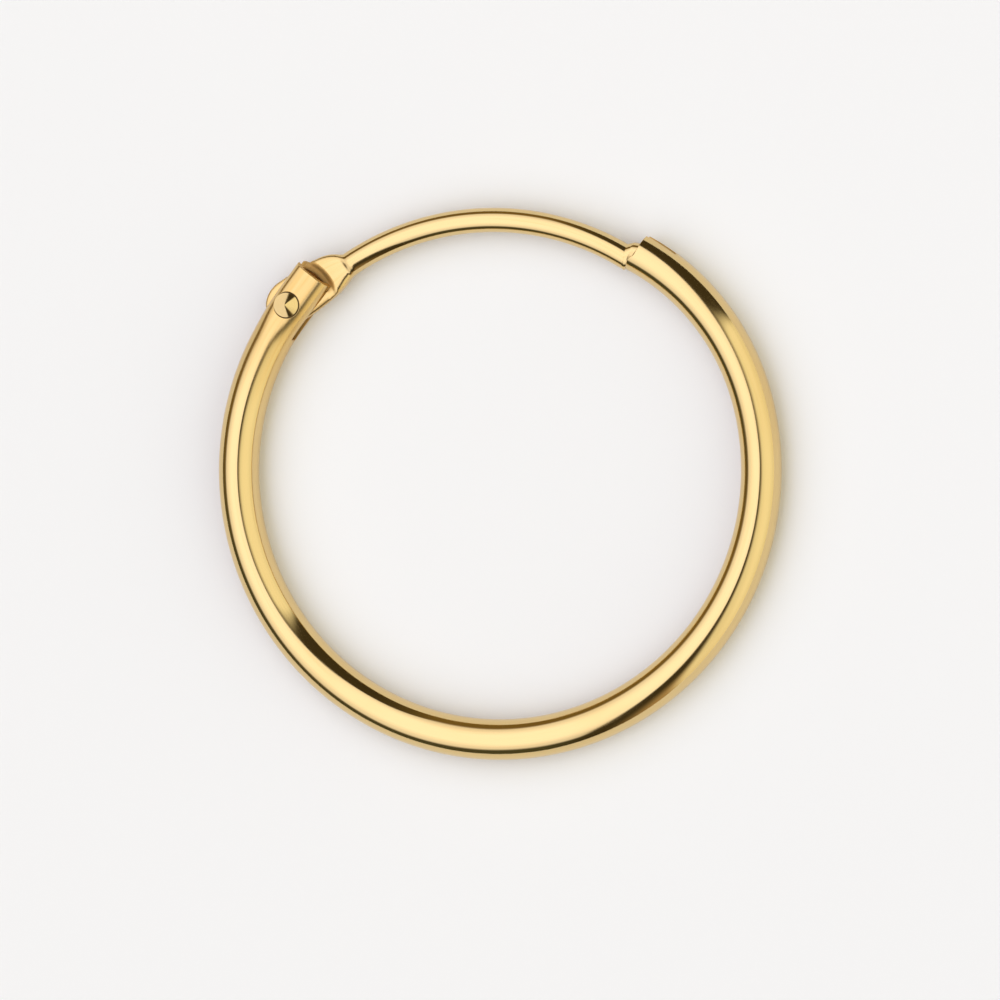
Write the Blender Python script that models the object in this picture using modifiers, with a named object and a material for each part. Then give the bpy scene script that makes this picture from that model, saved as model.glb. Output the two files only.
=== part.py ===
"""Hinged hoop earring: a bent hollow tube, a sprung ear wire with pressed ends, and the rivet they turn on.

The hoop lies on its side. +Z is up, out of the face that is seen, +Y points to the ear wire at the crown and
+X points to the catch. The origin is the middle of the earring's box, on the surface that it lies on.
"""

import math

import bmesh
import bpy
from mathutils import Matrix, Vector

MM = 0.001

# The tube and the arc that it is bent to
HOOP_OUTER_DIAMETER = 17.0 * MM
TUBE_DIAMETER = 1.2 * MM
TUBE_WALL = 0.15 * MM
TUBE_SIDES = 24
ARC_STEP = math.radians(5.0)

# The hinge end, which runs straight past the last of the bend
HINGE_BEND_END = math.radians(143.0)
HINGE_STRAIGHT_LENGTH = 1.3 * MM
HINGE_STRAIGHT_STEPS = 2
HINGE_MOUTH_SLANT = math.radians(7.0)
RIVET_FROM_MOUTH = 1.17 * MM

# The catch end, which is bent a little tighter than the rest
CATCH_BEND_START = math.radians(15.0)
CATCH_BEND_RADIUS = 6.93 * MM
CATCH_BEND_SWEEP = math.radians(47.6)

# The ear wire
WIRE_DIAMETER = 0.72 * MM
WIRE_BEND_RADIUS = 7.92 * MM
WIRE_SIDES = 16
WIRE_END_SETBACK = 0.17 * MM
WIRE_END_INSET = 0.285 * MM

# The pressed paddle that the rivet passes through
PADDLE_LENGTH = 2.07 * MM
PADDLE_END_LENGTH = 0.8 * MM
PADDLE_WIDTH = 1.36 * MM
PADDLE_THICKNESS = 0.3 * MM
PADDLE_OFFSET = 0.06 * MM
RIVET_OFFSET = 0.07 * MM

# The pressed tongue that the catch holds
TONGUE_DEPTH = 1.0 * MM
TONGUE_WIDTH = 0.72 * MM
TONGUE_OFFSET = -0.03 * MM
TONGUE_THICKNESS = 0.3 * MM
SHOULDER_GAP = 0.04 * MM

# The rivet
RIVET_DIAMETER = 0.44 * MM
RIVET_HEAD_DIAMETER = 0.75 * MM
RIVET_HEAD_RIM = 0.05 * MM
RIVET_HEAD_CONE = 0.17 * MM
RIVET_SIDES = 24

# Clearances
SLOT_CLEARANCE = 0.04 * MM
SLOT_END_CLEARANCE = 0.05 * MM
PIN_CLEARANCE = 0.02 * MM
HEAD_CLEARANCE = 0.015 * MM
MERGE_DISTANCE = 0.0001 * MM

# Colours and finish of the polished yellow gold
GOLD = (0.93, 0.70, 0.31, 1.0)
GOLD_ROUGHNESS = 0.08

TUBE_RADIUS = TUBE_DIAMETER / 2
WIRE_RADIUS = WIRE_DIAMETER / 2
BEND_RADIUS = HOOP_OUTER_DIAMETER / 2 - TUBE_RADIUS
CATCH_BEND_END = CATCH_BEND_START + CATCH_BEND_SWEEP
CATCH_BEND_CENTRE = (BEND_RADIUS - CATCH_BEND_RADIUS) * Vector(
    (math.cos(CATCH_BEND_START), math.sin(CATCH_BEND_START))
)
CUTTER_SIZE = 2 * TUBE_DIAMETER

# Each row is a section across the paddle: how far it lies from the rivet as a share of the way to the wire,
# how much of the way its outer edge, its inner edge and its thickness are from the wire's to the paddle's,
# and how square the section is
PADDLE_SECTIONS = (
    {"along": 0.00, "outer": 1.00, "inner": 1.00, "flat": 1.00, "squareness": 5.0},
    {"along": 0.24, "outer": 0.98, "inner": 0.86, "flat": 1.00, "squareness": 5.0},
    {"along": 0.48, "outer": 0.88, "inner": 0.62, "flat": 1.00, "squareness": 5.0},
    {"along": 0.66, "outer": 0.74, "inner": 0.36, "flat": 0.90, "squareness": 4.5},
    {"along": 0.80, "outer": 0.58, "inner": 0.12, "flat": 0.76, "squareness": 4.0},
    {"along": 0.90, "outer": 0.34, "inner": 0.02, "flat": 0.64, "squareness": 3.6},
    {"along": 0.96, "outer": 0.10, "inner": 0.00, "flat": 0.20, "squareness": 2.5},
)

# Where the sections of the paddle's round end lie, in degrees round it from its tip
PADDLE_END_ANGLES = (8, 22, 40, 60, 76)

# Each row is a section across the tongue: how deep its outer and inner edges lie, as shares of the tongue's
# depth with a minus sign before the mouth, how much of the way each edge is from the wire's to the tongue's,
# and what is left of the tongue's thickness
TONGUE_SECTIONS = (
    {"outer_at": -0.31, "inner_at": -0.05, "outer": 0.0, "inner": 0.0, "thickness": 2.4, "squareness": 2.0},
    {"outer_at": -0.28, "inner_at": -0.04, "outer": 0.1, "inner": 1.0, "thickness": 1.0, "squareness": 5.0},
    {"outer_at": 0.00, "inner_at": 0.03, "outer": 0.8, "inner": 1.0, "thickness": 1.0, "squareness": 5.0},
    {"outer_at": 0.35, "inner_at": 0.35, "outer": 1.0, "inner": 1.0, "thickness": 1.0, "squareness": 5.0},
    {"outer_at": 0.80, "inner_at": 0.80, "outer": 1.0, "inner": 1.0, "thickness": 1.0, "squareness": 5.0},
    {"outer_at": 0.94, "inner_at": 0.94, "outer": 0.8, "inner": 0.86, "thickness": 0.9, "squareness": 4.0},
    {"outer_at": 1.00, "inner_at": 1.00, "outer": 0.4, "inner": 0.6, "thickness": 0.6, "squareness": 3.0},
)


def direction(angle):
    """The unit vector in the hoop's plane at an angle from +X."""
    return Vector((math.cos(angle), math.sin(angle)))


def turned(vector):
    """A vector of the hoop's plane, turned a quarter turn anticlockwise."""
    return Vector((-vector.y, vector.x))


# The two ends of the tube, in the hoop's plane and from the hoop's centre
HINGE_TANGENT = -turned(direction(HINGE_BEND_END))
HINGE_OUTWARD = direction(HINGE_BEND_END)
HINGE_MOUTH = BEND_RADIUS * direction(HINGE_BEND_END) + HINGE_STRAIGHT_LENGTH * HINGE_TANGENT
PIVOT = HINGE_MOUTH - RIVET_FROM_MOUTH * HINGE_TANGENT
CATCH_MOUTH = CATCH_BEND_CENTRE + CATCH_BEND_RADIUS * direction(CATCH_BEND_END)
CATCH_TANGENT = turned(direction(CATCH_BEND_END))
CATCH_OUTWARD = direction(CATCH_BEND_END)


def circles_meet(first, first_radius, second, second_radius):
    """The point at a radius from each of two centres, on the right of the way from the first to the second."""
    between = second - first
    along = (first_radius**2 - second_radius**2 + between.length_squared) / (2 * between.length)
    aside = math.sqrt(first_radius**2 - along**2)
    unit = between.normalized()
    return first + along * unit - aside * turned(unit)


# The ear wire's arc ends at the catch and runs straight on into the paddle at the hinge
WIRE_END = CATCH_MOUTH + WIRE_END_SETBACK * CATCH_TANGENT - WIRE_END_INSET * CATCH_OUTWARD
WIRE_CENTRE = circles_meet(
    PIVOT, math.hypot(WIRE_BEND_RADIUS - RIVET_OFFSET, PADDLE_LENGTH), WIRE_END, WIRE_BEND_RADIUS
)
PADDLE_TURN = math.atan2(PADDLE_LENGTH, WIRE_BEND_RADIUS - RIVET_OFFSET)
WIRE_START_ANGLE = math.atan2(*(PIVOT - WIRE_CENTRE).yx) - PADDLE_TURN
WIRE_END_ANGLE = math.atan2(*(WIRE_END - WIRE_CENTRE).yx)
PADDLE_OUTWARD = direction(WIRE_START_ANGLE)
PADDLE_AXIS = -turned(PADDLE_OUTWARD)

# The hoop's centre stands where the earring's box is centred on the origin
WIRE_CROWN = WIRE_CENTRE.y + WIRE_BEND_RADIUS + WIRE_RADIUS
HOOP_CENTRE = Vector((0.0, (HOOP_OUTER_DIAMETER / 2 - WIRE_CROWN) / 2, TUBE_RADIUS))


def start_scene():
    for item in list(bpy.data.objects):
        bpy.data.objects.remove(item)


def new_collection(name):
    collection = bpy.data.collections.new(name)
    bpy.context.scene.collection.children.link(collection)
    return collection


def gold_material(name):
    material = bpy.data.materials.new(name)
    material.use_nodes = True
    surface = material.node_tree.nodes["Principled BSDF"]
    surface.inputs["Base Color"].default_value = GOLD
    surface.inputs["Roughness"].default_value = GOLD_ROUGHNESS
    surface.inputs["Metallic"].default_value = 1.0
    return material


def new_object(name, mesh, collection, location):
    item = bpy.data.objects.new(name, mesh)
    item.location = location
    collection.objects.link(item)
    return item


def in_hoop(point, height=0.0):
    """A point of the hoop's plane, at a height from it, in the world."""
    return HOOP_CENTRE + Vector((point.x, point.y, height))


def cut(item, cutter, operation="DIFFERENCE"):
    modifier = item.modifiers.new(f"{operation.lower()} {cutter.name}", "BOOLEAN")
    modifier.operation = operation
    modifier.object = cutter


def as_cutter(item):
    item.hide_render = True
    item.display_type = "WIRE"
    return item


def smooth_rounds(mesh):
    mesh.shade_smooth()
    mesh.set_sharp_from_angle(angle=math.radians(30.0))


def arc_points(centre, radius, start, end):
    """Points along an arc, no more than a step apart, its first one left out."""
    count = math.ceil((end - start) / ARC_STEP)
    return [centre + radius * direction(start + (end - start) * i / count) for i in range(1, count + 1)]


def tube_route():
    """The tube's middle line, from the hinge mouth round the hoop to the catch mouth."""
    step = HINGE_STRAIGHT_LENGTH / HINGE_STRAIGHT_STEPS
    straight = [HINGE_MOUTH - i * step * HINGE_TANGENT for i in range(HINGE_STRAIGHT_STEPS + 1)]
    straight[0] = HINGE_MOUTH + TUBE_DIAMETER * math.tan(HINGE_MOUTH_SLANT) * HINGE_TANGENT
    whole_turn = 2 * math.pi
    round_hoop = arc_points(Vector((0, 0)), BEND_RADIUS, HINGE_BEND_END, whole_turn + CATCH_BEND_START)
    to_catch = arc_points(CATCH_BEND_CENTRE, CATCH_BEND_RADIUS, CATCH_BEND_START, CATCH_BEND_END)
    return straight + round_hoop + to_catch


def make_skin(name, points, radius, sides, collection):
    """An open tube of this radius to its flats, with a flat at its top and at its underside."""
    curve = bpy.data.curves.new(name, "CURVE")
    curve.dimensions = "3D"
    curve.twist_mode = "Z_UP"
    curve.bevel_depth = radius / math.cos(math.pi / sides)
    curve.bevel_resolution = (sides - 4) // 2
    spline = curve.splines.new("POLY")
    spline.points.add(len(points) - 1)
    for spot, point in zip(spline.points, points):
        spot.co = (point.x, point.y, 0.0, 1.0)
        spot.tilt = math.pi / sides
    guide = new_object(name + "_route", curve, collection, HOOP_CENTRE)
    graph = bpy.context.evaluated_depsgraph_get()
    mesh = bpy.data.meshes.new_from_object(guide.evaluated_get(graph))
    mesh.name = name
    bpy.data.objects.remove(guide)
    return new_object(name, mesh, collection, HOOP_CENTRE)


def make_box(name, centre, along, size, collection, slant=0.0):
    """A box whose first side runs along a direction of the hoop's plane, tipped from it by the slant."""
    mesh = bpy.data.meshes.new(name)
    shape = bmesh.new()
    bmesh.ops.create_cube(shape, size=1.0)
    bmesh.ops.scale(shape, vec=size, verts=shape.verts)
    shape.to_mesh(mesh)
    shape.free()
    item = new_object(name, mesh, collection, centre)
    item.rotation_euler = (0.0, -slant, math.atan2(along.y, along.x))
    return as_cutter(item)


def make_rod(name, centre, radius, length, sides, collection):
    """An upright round rod."""
    mesh = bpy.data.meshes.new(name)
    shape = bmesh.new()
    bmesh.ops.create_cone(
        shape, cap_ends=True, segments=sides, radius1=radius, radius2=radius, depth=length
    )
    shape.to_mesh(mesh)
    shape.free()
    return as_cutter(new_object(name, mesh, collection, centre))


def make_mouth_slant(cutters):
    """The cut that sets back the upper edge of the hinge mouth, turned about the mouth's middle."""
    normal = Vector((*(math.cos(HINGE_MOUTH_SLANT) * HINGE_TANGENT), math.sin(HINGE_MOUTH_SLANT)))
    middle = in_hoop(HINGE_MOUTH) + CUTTER_SIZE / 2 * normal
    size = (CUTTER_SIZE, CUTTER_SIZE, CUTTER_SIZE)
    return make_box("mouth_slant_cutter", middle, HINGE_TANGENT, size, cutters, HINGE_MOUTH_SLANT)


def make_hinge_slot(cutters):
    """The slot across both walls of the hinge end, which clears the paddle at every angle of the wire."""
    reach = max((Vector(point.xy) - PIVOT).length for points in paddle_end_sections() for point in points)
    length = RIVET_FROM_MOUTH + reach + SLOT_END_CLEARANCE
    width = PADDLE_THICKNESS + 2 * SLOT_CLEARANCE
    middle = HINGE_MOUTH - (length - CUTTER_SIZE) / 2 * HINGE_TANGENT
    return make_box(
        "hinge_slot_cutter", in_hoop(middle), HINGE_TANGENT, (length + CUTTER_SIZE, CUTTER_SIZE, width), cutters
    )


def make_catch_slot(cutters):
    """The slot through the outer wall of the catch end alone, open at the mouth."""
    length = TONGUE_DEPTH + SLOT_END_CLEARANCE
    width = TONGUE_THICKNESS + 2 * SLOT_CLEARANCE
    middle = CATCH_MOUTH - (length - CUTTER_SIZE) / 2 * CATCH_TANGENT + CUTTER_SIZE / 2 * CATCH_OUTWARD
    return make_box(
        "catch_slot_cutter", in_hoop(middle), CATCH_TANGENT, (length + CUTTER_SIZE, CUTTER_SIZE, width), cutters
    )


def make_pin_hole(cutters):
    radius = RIVET_DIAMETER / 2 + PIN_CLEARANCE
    return make_rod("pin_hole_cutter", in_hoop(PIVOT), radius, CUTTER_SIZE, RIVET_SIDES, cutters)


def make_hoop_tube(parts, cutters, pin_hole):
    tube = make_skin("hoop_tube", tube_route(), TUBE_RADIUS, TUBE_SIDES, parts)
    smooth_rounds(tube.data)
    wall = tube.modifiers.new("wall", "SOLIDIFY")
    wall.thickness = TUBE_WALL
    wall.offset = -1.0
    wall.use_even_offset = True
    cut(tube, make_mouth_slant(cutters))
    cut(tube, make_hinge_slot(cutters))
    cut(tube, make_catch_slot(cutters))
    cut(tube, pin_hole)
    return tube


def part_way(first, second, share):
    return first + (second - first) * share


def section(outer, inner, half_thickness, squareness):
    """A closed section between an outer and an inner edge of the hoop's plane, round at squareness 2."""
    middle = (outer + inner) / 2
    across = (outer - inner) / 2
    points = []
    for i in range(WIRE_SIDES):
        angle = 2 * math.pi * (i + 0.5) / WIRE_SIDES
        aside = math.copysign(abs(math.cos(angle)) ** (2 / squareness), math.cos(angle))
        above = math.copysign(abs(math.sin(angle)) ** (2 / squareness), math.sin(angle))
        spot = middle + aside * across
        points.append(Vector((spot.x, spot.y, above * half_thickness)))
    return points


def paddle_section(along, outer, inner, half_thickness, squareness):
    """A section square across the paddle, its edges at distances outward from the line of the wire."""
    middle = PIVOT + along * PADDLE_AXIS + RIVET_OFFSET * PADDLE_OUTWARD
    edges = (middle + outer * PADDLE_OUTWARD, middle + inner * PADDLE_OUTWARD)
    return section(*edges, half_thickness, squareness)


def paddle_end_sections():
    """The paddle's round end: half of an ellipse."""
    squareness = PADDLE_SECTIONS[0]["squareness"]
    sections = []
    for angle in PADDLE_END_ANGLES:
        back = -PADDLE_END_LENGTH * math.cos(math.radians(angle))
        reach = PADDLE_WIDTH / 2 * math.sin(math.radians(angle))
        edges = (PADDLE_OFFSET + reach, PADDLE_OFFSET - reach)
        sections.append(paddle_section(back, *edges, PADDLE_THICKNESS / 2, squareness))
    return sections


def paddle_sections():
    """The paddle from the rivet to the wire, by its table."""
    sections = []
    for row in PADDLE_SECTIONS:
        sections.append(
            paddle_section(
                row["along"] * PADDLE_LENGTH,
                part_way(WIRE_RADIUS, PADDLE_OFFSET + PADDLE_WIDTH / 2, row["outer"]),
                part_way(-WIRE_RADIUS, PADDLE_OFFSET - PADDLE_WIDTH / 2, row["inner"]),
                part_way(WIRE_RADIUS, PADDLE_THICKNESS / 2, row["flat"]),
                row["squareness"],
            )
        )
    return sections


def wire_sections():
    """The round wire, from the paddle to where it meets the catch."""
    count = math.ceil((WIRE_START_ANGLE - WIRE_END_ANGLE) / ARC_STEP)
    sections = []
    for i in range(count):
        angle = part_way(WIRE_START_ANGLE, WIRE_END_ANGLE, i / count)
        outer = WIRE_CENTRE + (WIRE_BEND_RADIUS + WIRE_RADIUS) * direction(angle)
        inner = WIRE_CENTRE + (WIRE_BEND_RADIUS - WIRE_RADIUS) * direction(angle)
        sections.append(section(outer, inner, WIRE_RADIUS, 2.0))
    return sections


def in_catch(depth, aside):
    """A point at a depth into the catch end along its bend, and at a distance outward from its middle line."""
    if depth < 0:
        return CATCH_MOUTH - depth * CATCH_TANGENT + aside * CATCH_OUTWARD
    angle = CATCH_BEND_END - depth / CATCH_BEND_RADIUS
    return CATCH_BEND_CENTRE + (CATCH_BEND_RADIUS + aside) * direction(angle)


def tongue_sections():
    sections = []
    half = TONGUE_WIDTH / 2
    for row in TONGUE_SECTIONS:
        outer_aside = part_way(WIRE_RADIUS - WIRE_END_INSET, TONGUE_OFFSET + half, row["outer"])
        inner_aside = part_way(-WIRE_RADIUS - WIRE_END_INSET, TONGUE_OFFSET - half, row["inner"])
        outer = in_catch(row["outer_at"] * TONGUE_DEPTH, outer_aside)
        inner = in_catch(row["inner_at"] * TONGUE_DEPTH, inner_aside)
        half_thickness = row["thickness"] * TONGUE_THICKNESS / 2
        sections.append(section(outer, inner, half_thickness, row["squareness"]))
    return sections


def loft(name, sections):
    """A closed skin through sections that have the same number of points."""
    mesh = bpy.data.meshes.new(name)
    shape = bmesh.new()
    rings = [[shape.verts.new(point) for point in points] for points in sections]
    sides = len(rings[0])
    for near, far in zip(rings, rings[1:]):
        for i in range(sides):
            j = (i + 1) % sides
            shape.faces.new((near[i], near[j], far[j], far[i]))
    shape.faces.new(rings[0])
    shape.faces.new(rings[-1])
    bmesh.ops.recalc_face_normals(shape, faces=shape.faces)
    shape.to_mesh(mesh)
    shape.free()
    smooth_rounds(mesh)
    return mesh


def make_ear_wire(parts, pin_hole):
    """The ear wire turns about the rivet, so its object's origin is there."""
    paddle = paddle_end_sections() + paddle_sections()
    mesh = loft("ear_wire", paddle + wire_sections() + tongue_sections())
    mesh.transform(Matrix.Translation((-PIVOT.x, -PIVOT.y, 0.0)))
    wire = new_object("ear_wire", mesh, parts, in_hoop(PIVOT))
    cut(wire, pin_hole)
    return wire


def make_hinge_rivet(parts, cutters):
    """A pin through both walls: a coned head seated on the tube, and a plain end flush with the underside."""
    rim_top = TUBE_RADIUS + RIVET_HEAD_RIM
    head_radius = RIVET_HEAD_DIAMETER / 2
    profile = ((0.0, rim_top + RIVET_HEAD_CONE), (head_radius, rim_top), (head_radius, 0.0), (0.0, 0.0))
    mesh = bpy.data.meshes.new("hinge_rivet")
    mesh.from_pydata([(radius, 0.0, height) for radius, height in profile], [(0, 1), (1, 2), (2, 3)], [])
    rivet = new_object("hinge_rivet", mesh, parts, in_hoop(PIVOT))
    turn = rivet.modifiers.new("turned head", "SCREW")
    turn.angle = 2 * math.pi
    turn.steps = RIVET_SIDES
    turn.render_steps = RIVET_SIDES
    turn.use_merge_vertices = True
    turn.merge_threshold = MERGE_DISTANCE
    saddle_radius = (TUBE_RADIUS + HEAD_CLEARANCE) / math.cos(math.pi / (2 * TUBE_SIDES))
    saddle = make_rod(
        "head_saddle_cutter", in_hoop(PIVOT), saddle_radius, CUTTER_SIZE, 2 * TUBE_SIDES, cutters
    )
    saddle.rotation_euler = (math.pi / 2, 0.0, math.atan2(HINGE_TANGENT.y, HINGE_TANGENT.x) + math.pi / 2)
    cut(rivet, saddle)
    shank_top = rim_top
    shank_length = shank_top + TUBE_RADIUS
    middle = in_hoop(PIVOT, shank_top - shank_length / 2)
    shank = make_rod("rivet_shank", middle, RIVET_DIAMETER / 2, shank_length, RIVET_SIDES, cutters)
    cut(rivet, shank, "UNION")
    return rivet


def main():
    start_scene()
    parts = new_collection("hoop_earring")
    cutters = new_collection("cutters")
    pin_hole = make_pin_hole(cutters)
    pieces = [
        make_hoop_tube(parts, cutters, pin_hole),
        make_ear_wire(parts, pin_hole),
        make_hinge_rivet(parts, cutters),
    ]
    for piece in pieces:
        piece.data.materials.append(gold_material(piece.name + "_gold"))


main()
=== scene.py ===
"""Hinged hoop earring in polished yellow gold, lying on a pale floor in soft studio light.

The frame holds the earring's pieces as plain solids. Here each one gets its fine surface: the bent tube with
its slotted ends, the sprung ear wire with its pressed ends, and the rivet that they turn on.
"""

import math

import bpy
import numpy as np
from bpy.props import FloatProperty, FloatVectorProperty, PointerProperty
from bpy.types import Operator, Panel, PropertyGroup
from mathutils import Matrix, Vector


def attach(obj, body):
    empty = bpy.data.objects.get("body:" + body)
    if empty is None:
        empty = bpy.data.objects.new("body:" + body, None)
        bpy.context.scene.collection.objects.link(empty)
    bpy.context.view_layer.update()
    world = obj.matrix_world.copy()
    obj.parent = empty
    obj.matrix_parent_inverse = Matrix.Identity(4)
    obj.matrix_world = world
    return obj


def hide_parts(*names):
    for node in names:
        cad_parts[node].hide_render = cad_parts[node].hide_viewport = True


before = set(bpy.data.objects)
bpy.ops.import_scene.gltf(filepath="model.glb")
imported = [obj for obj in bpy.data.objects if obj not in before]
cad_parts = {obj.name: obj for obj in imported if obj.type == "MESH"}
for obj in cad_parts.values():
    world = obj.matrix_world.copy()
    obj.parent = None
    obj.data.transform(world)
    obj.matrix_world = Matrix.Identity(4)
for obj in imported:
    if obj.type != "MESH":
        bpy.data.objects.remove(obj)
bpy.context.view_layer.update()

bl_info = {
    "name": "Hinged Hoop Earring",
    "version": (1, 0, 0),
    "blender": (4, 5, 0),
    "location": "3D View > Sidebar > Earring",
    "description": "Adds a hinged hoop earring of polished gold, piece by piece, and a studio for it",
    "category": "Add Mesh",
}

MM = 0.001

# Edges that turn by more than this are sharp
SHARP = math.radians(32.0)

# Cells along the hinge slot, on to the catch slot and along that one, across each slot and between the slots
HINGE_ROWS, TUBE_ROWS, CATCH_ROWS = 30, 260, 16
SLOT_CELLS, SIDE_CELLS = 8, 32

# Sections of the paddle behind the rivet and ahead of it, of the wire's arc and of each run of the tongue
TIP_ROWS, PADDLE_ROWS, ARC_ROWS, TONGUE_ROWS = 26, 110, 170, 8
WIRE_SIDES = 128

# Rings of the rivet's cone, of its head's underside, of its shank and of its foot
RIVET_RINGS = (16, 8, 12, 8)
RIVET_SIDES = 96
HOLE_SIDES = 64


def length(name, description, millimetres):
    """A size in metres, from its default in millimetres."""
    default = millimetres * MM
    return FloatProperty(
        name=name, description=description, default=default, unit="LENGTH", subtype="DISTANCE", precision=5
    )


def turn(name, description, degrees):
    """An angle in radians, from its default in degrees."""
    return FloatProperty(
        name=name, description=description, default=math.radians(degrees), unit="ROTATION", subtype="ANGLE"
    )


def share(name, description, default):
    """A plain number."""
    return FloatProperty(name=name, description=description, default=default, precision=4)


def colour(name, description, default):
    """A linear colour."""
    return FloatVectorProperty(
        name=name, description=description, default=default, size=3, subtype="COLOR", min=0.0, max=1.0
    )


class EARRING_PG_tube(PropertyGroup):
    """Sizes of the bent hollow tube"""

    outer_diameter: length("Hoop diameter", "Width of the hoop over the tube", 17.0)
    diameter: length("Tube diameter", "Thickness of the tube", 1.2)
    wall: length("Wall", "Thickness of the tube's wall", 0.15)
    hinge_bend_end: turn("Hinge bend end", "Where the bend ends, from +X", 143.0)
    hinge_straight: length("Hinge straight", "Straight run from the bend to the hinge mouth", 1.3)
    mouth_slant: turn("Mouth slant", "How far the mouth is cut back on its upper side", 7.0)
    squareness: share("Squareness", "How much squarer than round the tube is at the hinge", 1.6)
    square_full: length("Square full", "How far from the hinge mouth the tube is fully that square", 0.6)
    square_end: length("Square end", "How far from the hinge mouth the tube is round again", 2.5)
    slot_width: length("Hinge slot width", "Width of the slot for the paddle", 0.38)
    slot_length: length("Hinge slot length", "Depth of that slot from the mouth", 2.05)
    catch_bend_start: turn("Catch bend start", "Where the tighter bend starts, from +X", 15.0)
    catch_bend_radius: length("Catch bend radius", "Radius of that bend", 6.93)
    catch_bend_sweep: turn("Catch bend sweep", "How far that bend turns", 47.6)
    catch_slot_length: length("Catch slot length", "Depth of the slot that lets the tongue in", 1.05)
    notch_depth: length("Notch depth", "How far the catch mouth's outward side is cut back", 0.12)
    notch_inset: length("Notch inset", "How far inward of the tube's middle that cut starts", 0.16)
    notch_run: length("Notch run", "Width over which the cut deepens", 0.24)
    rim: length("Rim", "Rounding of the sawn edges", 0.016)
    worn: length("Worn length", "How far from the hinge mouth the polish is worn", 5.0)


class EARRING_PG_wire(PropertyGroup):
    """Sizes of the ear wire and its pressed ends"""

    diameter: length("Wire diameter", "Thickness of the ear wire", 0.72)
    bend_radius: length("Wire bend", "Radius that the ear wire is bent to", 7.92)
    end_setback: length("End setback", "How far the round wire ends before the catch mouth", 0.17)
    end_inset: length("End inset", "How far the wire's end lies inward of the tube's middle", 0.285)
    end_slant: turn("End slant", "How far the round wire's end is cut out of square", 20.0)
    paddle_length: length("Paddle length", "From the rivet to the round wire", 2.07)
    paddle_end: length("Paddle end", "From the rivet to the paddle's tip", 0.8)
    paddle_width: length("Paddle width", "Greatest width of the paddle", 1.36)
    paddle_thickness: length("Paddle thickness", "Thickness of the paddle at the rivet", 0.3)
    paddle_offset: length("Paddle offset", "How far its middle lies outward of the wire's line", 0.06)
    rivet_offset: length("Rivet offset", "How far the wire's line lies outward of the rivet", 0.07)
    # Past this distance from the rivet, up to the shoulder, the paddle is matt and its colour is deepened by
    # painted shade by the tube's mouth
    dull_and_shaded: length("Dull ring", "Distance from the rivet past which the metal is dull", 1.12)
    shoulder: length("Shoulder", "Distance of the shoulder's top from the rivet", 1.45)
    tongue_depth: length("Tongue depth", "How far the tongue reaches into the catch", 1.0)
    tongue_width: length("Tongue width", "Width of the tongue", 0.72)
    tongue_thickness: length("Tongue thickness", "Thickness of the tongue", 0.3)
    tongue_offset: length("Tongue offset", "How far the tongue lies outward of the tube's middle", -0.03)
    edge: length("Edge", "Rounding of the tongue's shoulder", 0.012)
    worn: length("Worn length", "How far from the paddle's tip the polish is worn", 3.8)


class EARRING_PG_rivet(PropertyGroup):
    """Sizes of the hinge rivet"""

    from_mouth: length("From mouth", "Distance of the rivet from the hinge mouth", 1.17)
    diameter: length("Shank diameter", "Thickness of the rivet's shank", 0.44)
    hole: length("Hole diameter", "Width of the rivet's hole in the paddle", 0.48)
    head_diameter: length("Head diameter", "Width of the rivet's head", 0.72)
    head_aside: length("Head aside", "How far the head sits off its shank towards -X", 0.07)
    head_lean: turn("Head lean", "How far the head's cone leans towards +X", 6.0)
    head_rim: length("Head rim", "Height of the head's rim over the tube", 0.05)
    head_gap: length("Head gap", "How far the head's underside stands off the tube", 0.015)
    head_cone: length("Head cone", "Height of the head's low cone", 0.17)
    edge: length("Edge", "Rounding of the head's rim", 0.014)


class EARRING_PG_finish(PropertyGroup):
    """Colour and finish of the gold"""

    gold: colour("Gold", "Colour of the polished gold", (0.73, 0.54, 0.25))
    deep_gold: colour("Deep gold", "Colour of the gold where it is worn or drawn", (0.66, 0.42, 0.14))
    gloss: share("Roughness", "Roughness of the polished gold", 0.07)
    # Painted shade: the colour that darkens the thin line round the rivet's head
    painted_gap_shade: colour("Residue", "Colour of what polish leaves in the narrow gaps", (0.06, 0.035, 0.012))
    inside: share("Inside roughness", "Roughness of the unpolished inside", 0.5)
    line_width: length("Drawing lines", "Spacing of the fine lines along the metal", 0.08)
    line_depth: length("Line depth", "Depth of those lines", 0.0009)
    wave_width: length("Waviness", "Spacing of the hand polish's waves", 1.1)
    wave_depth: length("Wave depth", "Depth of those waves", 0.0022)
    pit_depth: length("Pit depth", "Depth of the few tiny pits", 0.0006)
    line_cut: length("Line round the head", "Depth of the thin line round the rivet's head", 0.01)


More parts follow.
